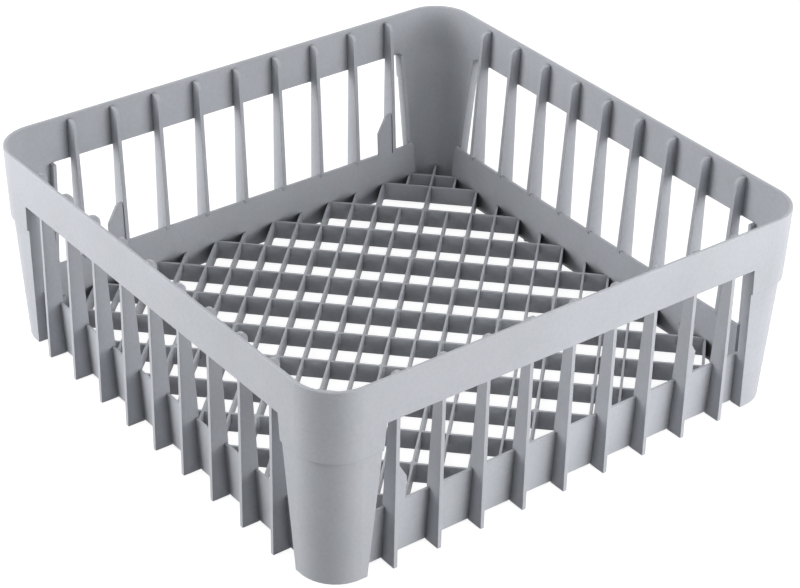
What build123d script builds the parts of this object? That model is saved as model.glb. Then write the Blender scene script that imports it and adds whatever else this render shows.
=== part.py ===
"""Square glass basket for a dishwasher, moulded in one piece.

Millimetres, +Z up. The origin is the middle of the footprint, on the plane the basket stands on.
"""
import math
import os

from build123d import *

# overall
width = 400.0
height = 150.0
corner_radius = 30.0
foot_corner_radius = 27.0
wall = 2.6

# rim band round the top, and the deeper guards it grows at the corners
rim_height = 33.0
rim_draft = 1.0
rim_edge_chamfer = 0.6
guard_height = 53.0
guard_step = 1.4

# corner pillars, which lean in and grow narrower towards the foot; widths run along a side
pillar_lean = 5.0
pillar_top_width = 48.0
pillar_foot_width = 40.0
pillar_return_depth = 7.2

# low wall round the floor, just clear of the ground; it leans out upwards and its foot is thinned from inside
band_height = 42.0
band_foot = 1.2
band_wall = 2.0
side_depth = 20.3
inner_lean = 0.064
foot_thinning = 1.2
foot_thinning_height = 3.0

# upright fins between the low wall and the rim
fins_per_side = 9
fin_end_gap = 13.2
fin_thickness = 2.9
fin_setback = 4.7
fin_proud = 1.0
fin_shift = 1.8
fin_top_drop = 3.0
fin_top_round = 5.0

# upstands on the low wall beside two fins of the front and back sides
tab_width = 14.2
tab_height = 31.5
tab_crown = 5.0
tab_crown_run = 1.8
tab_crown_drop = 1.2
tab_shoulder = 17.8

# diagonal floor lattice: close ribs, every second one deep, and deeper cross ribs at twice their pitch
close_ribs = 12
corner_rib_inset = 60.4
rib_thickness = 1.7
rib_top = 16.5
shallow_rib_height = 8.0
deep_rib_height = 13.0
cross_rib_height = 14.5

# bosses on crossings of the lattice, where the mould's pins push; flats keep their facets few
boss_diameter = 4.5
boss_flats = 12

half = width / 2
rim_foot = height - rim_height
guard_foot = height - guard_height
pillar_edge_top = half - pillar_top_width
pillar_edge_foot = half - pillar_foot_width
inner_foot_half = half - side_depth
fin_outer_half = half - fin_setback
fin_pitch = 2 * (pillar_edge_top - fin_end_gap) / (fins_per_side - 1)
tab_fins = (2, fins_per_side)
corner_rib_at = width - corner_rib_inset
close_pitch = corner_rib_at / (close_ribs + 1)
wide_pitch = 2 * close_pitch
wide_ribs = close_ribs // 2
thin_top = band_foot + foot_thinning_height
past = 5.0


def inner_half(z):
    """Half width between the inner edges of the fins at height z."""
    return inner_foot_half + inner_lean * z


def band_half(z, part=0.0):
    """Half width between the inner faces of the low wall, or a part of its thickness further out."""
    return inner_half(z) + fin_proud + part * band_wall


def rim_half(z):
    """Half width over the rim and its corner guards at height z."""
    return half - rim_draft * (height - z) / rim_height


def pillar_half(z):
    """Half width over the corner pillars at height z."""
    return rim_half(guard_foot) - guard_step - pillar_lean * (guard_foot - z) / guard_foot


def pillar_edge(z):
    """Distance of a pillar's side edge from the middle of the side at height z."""
    return pillar_edge_foot + (pillar_edge_top - pillar_edge_foot) * z / rim_foot


def corner_at(z):
    """Outer radius of the corners at height z."""
    return foot_corner_radius + (corner_radius - foot_corner_radius) * z / height


def rounded_plug(*levels):
    """Solid with a rounded square outline that changes evenly between levels of (z, half width, inset)."""
    outlines = []
    for z, reach, inset in levels:
        side = 2 * (reach - inset)
        outlines.append(Plane.XY.offset(z) * RectangleRounded(side, side, corner_at(z) - inset))
    return loft(outlines, ruled=True)


def square_plug(z_low, half_low, z_high, half_high):
    """Solid with a square outline that changes evenly between two heights."""
    outlines = []
    for z, reach in ((z_low, half_low), (z_high, half_high)):
        outlines.append(Plane.XY.offset(z) * Rectangle(2 * reach, 2 * reach))
    return loft(outlines, ruled=True)


def band_hollow():
    """Space inside the low wall, wider at the foot, where the wall is thinned."""
    spread = foot_thinning * (thin_top + past) / foot_thinning_height
    body = square_plug(-past, band_half(-past), height, band_half(height))
    return body + square_plug(-past, band_half(thin_top) + spread, thin_top, band_half(thin_top))


def band_sheet(top):
    """The low wall's sheet all round, from its foot up to a given height."""
    return square_plug(band_foot, band_half(band_foot, 1), top, band_half(top, 1)) - band_hollow()


def across(points, reach=width):
    """Prism that runs right through the basket along Y; points are (x, z)."""
    outline = make_face(Polyline(*points, close=True))
    return extrude(Plane.XZ * outline, amount=reach, both=True)


def quarter(shape):
    """The shape turned onto the neighbouring sides."""
    return Rot(0, 0, 90) * shape


def side_window(grow=0.0, top=rim_foot):
    """Opening between two pillars, for the front and back sides."""
    low = -past
    return across(
        [
            (-pillar_edge(low) - grow, low),
            (pillar_edge(low) + grow, low),
            (pillar_edge(top) + grow, top),
            (-pillar_edge(top) - grow, top),
        ]
    )


def envelope(inset, past_foot=0.0):
    """Body of the rim, guards and pillars; with an inset it is the hollow inside them, open at the top."""
    foot = -past_foot
    edge = height - rim_edge_chamfer
    if inset == 0:
        guard_low_half = rim_half(guard_foot)
        lip = (height, rim_half(height), rim_edge_chamfer)
    else:
        guard_low_half = pillar_half(guard_foot)
        lip = (height + past, rim_half(height), inset - rim_edge_chamfer - past)
    guard_low = (guard_foot, guard_low_half, inset)
    rim_low = (rim_foot, rim_half(rim_foot), inset)
    pillars = rounded_plug((foot, pillar_half(foot), inset), (guard_foot, pillar_half(guard_foot), inset))
    guards = rounded_plug(guard_low, rim_low)
    rim = rounded_plug(rim_low, (edge, rim_half(edge), inset), lip)
    return pillars + guards + rim


def corner_shells():
    """Rim, corner guards and pillars as one thin shell."""
    shell = envelope(0) - envelope(wall, past)
    window = side_window()
    return shell - window - quarter(window)


def pillar_returns():
    """Flanges along the side edges of the pillars, which stiffen them and close the low wall."""
    flange = (side_window(wall) - side_window()) & envelope(0)
    flange += quarter(flange)
    low_end = flange & Box(2 * width, 2 * width, band_height, align=(Align.CENTER, Align.CENTER, Align.MIN))
    return (flange - envelope(pillar_return_depth, past)) + (low_end - band_hollow())


def fin():
    """One fin of the back side, in the middle of the side."""
    top = height - fin_top_drop
    in_rim_low = rim_half(rim_foot) - wall / 2
    in_rim_top = rim_half(top) - wall / 2
    outline = Polyline(
        (band_half(thin_top, 0.5), thin_top),
        (band_half(0, 0.8), 0),
        (fin_outer_half, 0),
        (fin_outer_half, rim_foot),
        (in_rim_low, rim_foot),
        (in_rim_top, top),
        (inner_half(top), top),
        (inner_half(band_height), band_height),
        (band_half(band_height - past, 0.5), band_height - past),
        close=True,
    )
    blade = extrude(Plane.YZ * make_face(outline), amount=fin_thickness / 2, both=True)
    crown = blade.edges().filter_by(Axis.X).group_by(Axis.Z)[-1].sort_by(Axis.Y)[0]
    return fillet(crown, fin_top_round)


def fin_places(shift):
    """Positions of the fins along one side."""
    middle = (fins_per_side - 1) / 2
    return [(i - middle) * fin_pitch + shift for i in range(fins_per_side)]


def fins():
    """All fins of the four sides."""
    blade = fin()
    placed = []
    for turn in range(4):
        shift = fin_shift if turn % 2 == 0 else 0.0
        for place in fin_places(shift):
            placed.append(Rot(0, 0, 90 * turn) * Pos(place, 0, 0) * blade)
    return placed


def low_wall():
    """Wall round the floor between the pillars, with its upstands."""
    ring = band_sheet(band_height)
    gate = side_window(wall / 2)
    sides = (ring & gate) + (ring & quarter(gate))
    sheet = band_sheet(band_height + tab_height)
    sheet &= Box(2 * width, width, 2 * height, align=(Align.CENTER, Align.MIN, Align.CENTER))
    places = fin_places(fin_shift)
    for number in tab_fins:
        root = places[number - 1]
        crown = band_height + tab_height
        upstand = across(
            [
                (root, band_height - past),
                (root - tab_width, band_height - past),
                (root - tab_width, band_height + tab_shoulder),
                (root - tab_crown - tab_crown_run, crown - tab_crown_drop),
                (root - tab_crown, crown),
                (root, crown),
            ]
        )
        tab = sheet & upstand
        sides += [tab, Rot(0, 0, 180) * tab]
    return sides


def rib(offset, start, end, turn, deep):
    """Floor rib at right angles to a diagonal; offset, start and end are sums of x and y."""
    root2 = math.sqrt(2)
    length = (end - start) / root2
    middle = (end + start) / 2 / root2
    bar = Box(length, rib_thickness, deep, align=(Align.CENTER, Align.CENTER, Align.MAX))
    return Rot(0, 0, 45 + turn) * Pos(middle, -offset / root2, rib_top) * bar


def lattice():
    """Floor ribs: close ones from the front corner to the back one, wide ones across them."""
    span = 2 * band_half(rib_top - cross_rib_height / 2, 0.5)
    pocket = (2 - math.sqrt(2)) * corner_at(rib_top)
    into_corner = 2 * (pillar_half(rib_top) - wall / 2) - pocket
    bars = []
    open_high = wide_ribs * wide_pitch
    open_low = open_high - wide_pitch
    for k in range(-close_ribs, close_ribs + 1):
        deep = deep_rib_height if k % 2 == 0 else shallow_rib_height
        reach = into_corner if k == 0 else span - abs(k) * close_pitch
        offset = k * close_pitch
        if abs(k) == 1:
            bars.append(rib(offset, -reach, -open_high, 0, deep))
            bars.append(rib(offset, -open_low, open_low, 0, deep))
            bars.append(rib(offset, open_high, reach, 0, deep))
        else:
            bars.append(rib(offset, -reach, reach, 0, deep))
    for m in range(-wide_ribs, wide_ribs + 1):
        reach = into_corner if m == 0 else span - abs(m) * wide_pitch
        bars.append(rib(m * wide_pitch, -reach, reach, 90, cross_rib_height))
    corner_reach = span - corner_rib_at
    for turn in (0, 90, 180, 270):
        bars.append(rib(corner_rib_at, -corner_reach, corner_reach, turn, cross_rib_height))
    return bars


def bosses():
    """Bosses on a square grid, each on a crossing of a deep rib and a cross rib."""
    outline = RegularPolygon(boss_diameter / 2, boss_flats, major_radius=False)
    boss = extrude(Plane.XY.offset(rib_top) * outline, amount=-deep_rib_height)
    return [place * boss for place in GridLocations(wide_pitch, wide_pitch, wide_ribs, wide_ribs)]


basket = corner_shells() + pillar_returns() + low_wall()
basket += fins()
basket += lattice() + bosses()
basket = basket.clean()

os.makedirs("parts", exist_ok=True)
export_step(basket, "parts/basket.step")
print("solids", len(basket.solids()), "volume cm3", round(basket.volume / 1000, 1))
print(basket.bounding_box())
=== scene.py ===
import math

import bpy
from mathutils import Matrix, Vector

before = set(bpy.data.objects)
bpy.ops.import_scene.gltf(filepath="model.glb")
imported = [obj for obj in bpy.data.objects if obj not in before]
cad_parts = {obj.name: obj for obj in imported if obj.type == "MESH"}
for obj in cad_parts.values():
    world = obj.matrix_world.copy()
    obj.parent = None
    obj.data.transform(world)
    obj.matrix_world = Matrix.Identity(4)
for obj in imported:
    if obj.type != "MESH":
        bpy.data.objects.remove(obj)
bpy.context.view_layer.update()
scene = bpy.context.scene

# camera of the photograph, in metres, degrees and pixels of an 800 x 588 image
IMAGE_WIDTH = 800
IMAGE_HEIGHT = 588
CAMERA_AT = Vector((-0.8612, -1.1310, 0.9330))
YAW = 51.596
PITCH = -31.705
ROLL = 1.644
FOCAL_PIXELS = 2389.1
AXIS_PIXEL = (429.9, 292.1)
SENSOR = 36.0
CAMERA_REACH = 100.0

# plastic: noise scales per metre, and the span of each noise that its marks use
CLOUD_SCALE = 16.0
PATCH_SCALE = 38.0
SPECK_SCALE = 420.0
GRAIN_SCALE = 1500.0
SCUFF_STRETCH = (30.0, 30.0, 300.0)
SOFT_DETAIL = 3.0
FINE_DETAIL = 2.0
NOISE_ROUGHNESS = 0.55
CLOUD_SPAN = (0.30, 0.70)
PATCH_SPAN = (0.38, 0.62)
SPECK_SPAN = (0.30, 0.70)
SCUFF_SPAN = (0.66, 0.78)

# plastic: linear colours, and how strongly each mark shows
TONE_DARK = (0.497, 0.508, 0.546, 1)
TONE_LIGHT = (0.545, 0.556, 0.600, 1)
PATCH_TINT = (0.985, 1.0, 0.985, 1)
SPECK_SHADE = (0.96, 1.03)
SCUFF_COLOUR = (0.42, 0.42, 0.44, 1)
SCUFF_STRENGTH = 0.22
WORN_COLOUR = (0.64, 0.65, 0.68, 1)
WEAR_STRENGTH = 0.18

# plastic: rounded edges, and painted shade that darkens tight corners, in metres
EDGE_RADIUS = 0.0005
EDGE_SAMPLES = 6
EDGE_SPAN = (0.98, 0.80)
# painted shade in corners: how far it reaches, its samples, and the occlusion span and the darkening it
# maps to
PAINTED_SHADE_REACH = 0.015
PAINTED_SHADE_SAMPLES = 4
PAINTED_SHADE_SPAN = (0.30, 0.75)
PAINTED_SHADE_LEVELS = (0.15, 1.0)

# plastic: gloss, and relief in metres
ROUGHNESS = (0.42, 0.54)
EDGE_POLISH = 0.85
PLASTIC_IOR = 1.49
SPECULAR_LEVEL = 0.2
WAVES = {"Strength": 0.25, "Distance": 0.0010}
MOULD_GRAIN = {"Strength": 0.12, "Distance": 0.00012}

# floor and room, in metres and linear colours; the floor's glow grows to white away from the basket
FLOOR_SIZE = 12.0
FLOOR_DROP = 0.0005
GLOW_SPAN = (0.5, 1.5)
GLOW_STRENGTH = (0.90, 1.0)
FLOOR_SHADED = (0.30, 0.30, 0.30, 1)
FLOOR_BOUNCE = (0.36, 0.36, 0.36, 1)
WHITE = (1, 1, 1, 1)
ROOM_COLOUR = (0.95, 0.97, 1.0, 1)
ROOM_STRENGTH = 0.10
PAPER_STRENGTH = 1.0

# softboxes: name, place, aim and size in metres, watts
SOFTBOXES = (
    ("left_softbox", (-1.09, 0.62, 0.38), (0, 0, 0.08), (0.9, 1.1), 17.8),
    ("right_softbox", (0.56, -1.12, 0.33), (0, 0, 0.08), (1.3, 0.8), 16.9),
    ("top_softbox", (-0.32, -0.32, 1.45), (0, 0, 0), (1.0, 1.0), 4.8),
    ("back_softbox", (0.85, 0.85, 0.80), (0, 0, 0.08), (0.9, 0.9), 6.0),
)

# numbers of the sockets of a Mix node that mixes colours
MIX_FACTOR = 0
MIX_FIRST = 6
MIX_SECOND = 7
MIX_RESULT = 2


def add_camera():
    """The photograph's camera."""
    yaw, pitch, roll = (math.radians(angle) for angle in (YAW, PITCH, ROLL))
    forward = Vector((math.cos(pitch) * math.cos(yaw), math.cos(pitch) * math.sin(yaw), math.sin(pitch)))
    level_right = forward.cross(Vector((0, 0, 1))).normalized()
    level_up = level_right.cross(forward)
    right = level_right * math.cos(roll) + level_up * math.sin(roll)
    up = level_up * math.cos(roll) - level_right * math.sin(roll)
    data = bpy.data.cameras.new("photo_camera")
    data.sensor_fit = "HORIZONTAL"
    data.sensor_width = SENSOR
    data.lens = FOCAL_PIXELS / IMAGE_WIDTH * SENSOR
    data.shift_x = (IMAGE_WIDTH / 2 - AXIS_PIXEL[0]) / IMAGE_WIDTH
    data.shift_y = (AXIS_PIXEL[1] - IMAGE_HEIGHT / 2) / IMAGE_WIDTH
    data.clip_end = CAMERA_REACH
    camera = bpy.data.objects.new("photo_camera", data)
    turn = Matrix((right, up, -forward)).transposed()
    camera.matrix_world = Matrix.Translation(CAMERA_AT) @ turn.to_4x4()
    scene.collection.objects.link(camera)
    scene.camera = camera


def node_maker(owner):
    """Empties the node tree of a material or world, and gives a short way to add nodes to it."""
    owner.use_nodes = True
    tree = owner.node_tree
    tree.nodes.clear()

    def feed(socket, value):
        if isinstance(value, bpy.types.NodeSocket):
            tree.links.new(value, socket)
        else:
            socket.default_value = value

    def make(kind, settings=None, numbered=None, **named):
        node = tree.nodes.new(kind)
        for name, value in (settings or {}).items():
            setattr(node, name, value)
        for number, value in (numbered or {}).items():
            feed(node.inputs[number], value)
        for name, value in named.items():
            feed(node.inputs[name.replace("_", " ")], value)
        return node

    return make


def levels(make, value, span, result):
    """The value with its span stretched to the result's two ends, and held there beyond them."""
    limits = {"From_Min": span[0], "From_Max": span[1], "To_Min": result[0], "To_Max": result[1]}
    return make("ShaderNodeMapRange", Value=value, **limits).outputs["Result"]


def seen_or_not(make, shown, hidden):
    """One shader for rays that show the background, directly, in a gloss or through something clear,
    and another for the rest, which carry light.
    """
    path = make("ShaderNodeLightPath").outputs
    larger = {"operation": "MAXIMUM"}
    direct = make("ShaderNodeMath", larger, {0: path["Is Camera Ray"], 1: path["Is Glossy Ray"]})
    seen = make("ShaderNodeMath", larger, {0: direct.outputs["Value"], 1: path["Is Transmission Ray"]})
    mix = make("ShaderNodeMixShader", numbered={0: seen.outputs["Value"], 1: hidden, 2: shown})
    return mix.outputs["Shader"]


def plastic_material():
    """Grey polypropylene as it comes from the mould, a little used, with painted shade darkening its tight
    corners.
    """
    material = bpy.data.materials.new("grey_polypropylene")
    make = node_maker(material)

    def noise(scale, detail, vector):
        settings = {"Scale": scale, "Detail": detail, "Roughness": NOISE_ROUGHNESS}
        return make("ShaderNodeTexNoise", Vector=vector, **settings).outputs["Fac"]

    def blend(kind, factor, first, second):
        settings = {"data_type": "RGBA", "blend_type": kind}
        sockets = {MIX_FACTOR: factor, MIX_FIRST: first, MIX_SECOND: second}
        return make("ShaderNodeMix", settings, sockets).outputs[MIX_RESULT]

    place = make("ShaderNodeTexCoord").outputs["Object"]
    cloud = noise(CLOUD_SCALE, SOFT_DETAIL, place)
    patch = noise(PATCH_SCALE, FINE_DETAIL, place)
    speck = noise(SPECK_SCALE, FINE_DETAIL, place)
    grain = noise(GRAIN_SCALE, FINE_DETAIL, place)
    along = make("ShaderNodeVectorMath", {"operation": "MULTIPLY"}, {0: place, 1: SCUFF_STRETCH})
    scuff = noise(1.0, SOFT_DETAIL, along.outputs["Vector"])

    # edges catch a little wear: there the rounded normal departs from the face's own
    rounded = make("ShaderNodeBevel", {"samples": EDGE_SAMPLES}, Radius=EDGE_RADIUS).outputs["Normal"]
    face = make("ShaderNodeNewGeometry").outputs["Normal"]
    agree = make("ShaderNodeVectorMath", {"operation": "DOT_PRODUCT"}, {0: rounded, 1: face})
    edge = levels(make, agree.outputs["Value"], EDGE_SPAN, (0.0, 1.0))

    tone = make("ShaderNodeValToRGB", Fac=cloud)
    dark, light = tone.color_ramp.elements
    dark.position, light.position = CLOUD_SPAN
    dark.color = TONE_DARK
    light.color = TONE_LIGHT
    hue = blend("MULTIPLY", levels(make, patch, PATCH_SPAN, (0.0, 1.0)), tone.outputs["Color"], PATCH_TINT)
    flecked = blend("MULTIPLY", 1.0, hue, levels(make, speck, SPECK_SPAN, SPECK_SHADE))
    scuffed = blend("MIX", levels(make, scuff, SCUFF_SPAN, (0.0, SCUFF_STRENGTH)), flecked, SCUFF_COLOUR)
    worn = blend("MIX", levels(make, edge, (0.0, 1.0), (0.0, WEAR_STRENGTH)), scuffed, WORN_COLOUR)

    # painted shade: the colour is darkened in tight corners by how closed in they are, standing in for the
    # shadow there
    local = {"samples": PAINTED_SHADE_SAMPLES, "only_local": True}
    corner = make("ShaderNodeAmbientOcclusion", local, Distance=PAINTED_SHADE_REACH)
    shade_painted = blend("MULTIPLY", 1.0, worn, levels(make, corner.outputs["AO"], PAINTED_SHADE_SPAN, PAINTED_SHADE_LEVELS))

    matt = levels(make, cloud, CLOUD_SPAN, ROUGHNESS)
    rubbed = levels(make, edge, (0.0, 1.0), (1.0, EDGE_POLISH))
    roughness = make("ShaderNodeMath", {"operation": "MULTIPLY"}, {0: matt, 1: rubbed})

    wavy = make("ShaderNodeBump", Height=cloud, Normal=rounded, **WAVES).outputs["Normal"]
    fine = make("ShaderNodeBump", Height=grain, Normal=wavy, **MOULD_GRAIN).outputs["Normal"]

    shader = make(
        "ShaderNodeBsdfPrincipled",
        Base_Color=shade_painted,
        Roughness=roughness.outputs["Value"],
        Normal=fine,
        IOR=PLASTIC_IOR,
        Specular_IOR_Level=SPECULAR_LEVEL,
    )
    make("ShaderNodeOutputMaterial", Surface=shader.outputs["BSDF"])
    return material


def dress_basket():
    """Puts the plastic on the CAD mesh, which is shown as it is."""
    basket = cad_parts["basket"]
    basket.data.materials.clear()
    basket.data.materials.append(plastic_material())


def add_floor():
    """Pale floor that keeps the shadow where it is seen, and bounces a plain grey light."""
    bpy.ops.mesh.primitive_plane_add(size=FLOOR_SIZE, location=(0, 0, -FLOOR_DROP))
    floor = bpy.context.object
    floor.name = "floor"
    material = bpy.data.materials.new("studio_floor")
    make = node_maker(material)
    place = make("ShaderNodeTexCoord").outputs["Object"]
    away = make("ShaderNodeVectorMath", {"operation": "LENGTH"}, {0: place}).outputs["Value"]
    strength = levels(make, away, GLOW_SPAN, GLOW_STRENGTH)
    glow = make("ShaderNodeEmission", Color=WHITE, Strength=strength).outputs["Emission"]
    shaded = make("ShaderNodeBsdfDiffuse", Color=FLOOR_SHADED).outputs["BSDF"]
    pale = make("ShaderNodeAddShader", numbered={0: glow, 1: shaded}).outputs["Shader"]
    bounce = make("ShaderNodeBsdfDiffuse", Color=FLOOR_BOUNCE).outputs["BSDF"]
    make("ShaderNodeOutputMaterial", Surface=seen_or_not(make, pale, bounce))
    floor.data.materials.append(material)


def add_world():
    """White paper where the background is seen, and a weak room light."""
    world = bpy.data.worlds.new("studio")
    scene.world = world
    make = node_maker(world)
    room = make("ShaderNodeBackground", Color=ROOM_COLOUR, Strength=ROOM_STRENGTH).outputs["Background"]
    paper = make("ShaderNodeBackground", Color=WHITE, Strength=PAPER_STRENGTH).outputs["Background"]
    make("ShaderNodeOutputWorld", Surface=seen_or_not(make, paper, room))


def add_softbox(name, at, aim, size, watts):
    """Rectangular area light at one place, aimed at another."""
    data = bpy.data.lights.new(name, "AREA")
    data.shape = "RECTANGLE"
    data.size, data.size_y = size
    data.energy = watts
    lamp = bpy.data.objects.new(name, data)
    lamp.location = at
    lamp.rotation_euler = (Vector(aim) - Vector(at)).to_track_quat("-Z", "Y").to_euler()
    scene.collection.objects.link(lamp)


scene.view_settings.view_transform = "Standard"
add_camera()
add_world()
add_floor()
for softbox in SOFTBOXES:
    add_softbox(*softbox)
dress_basket()
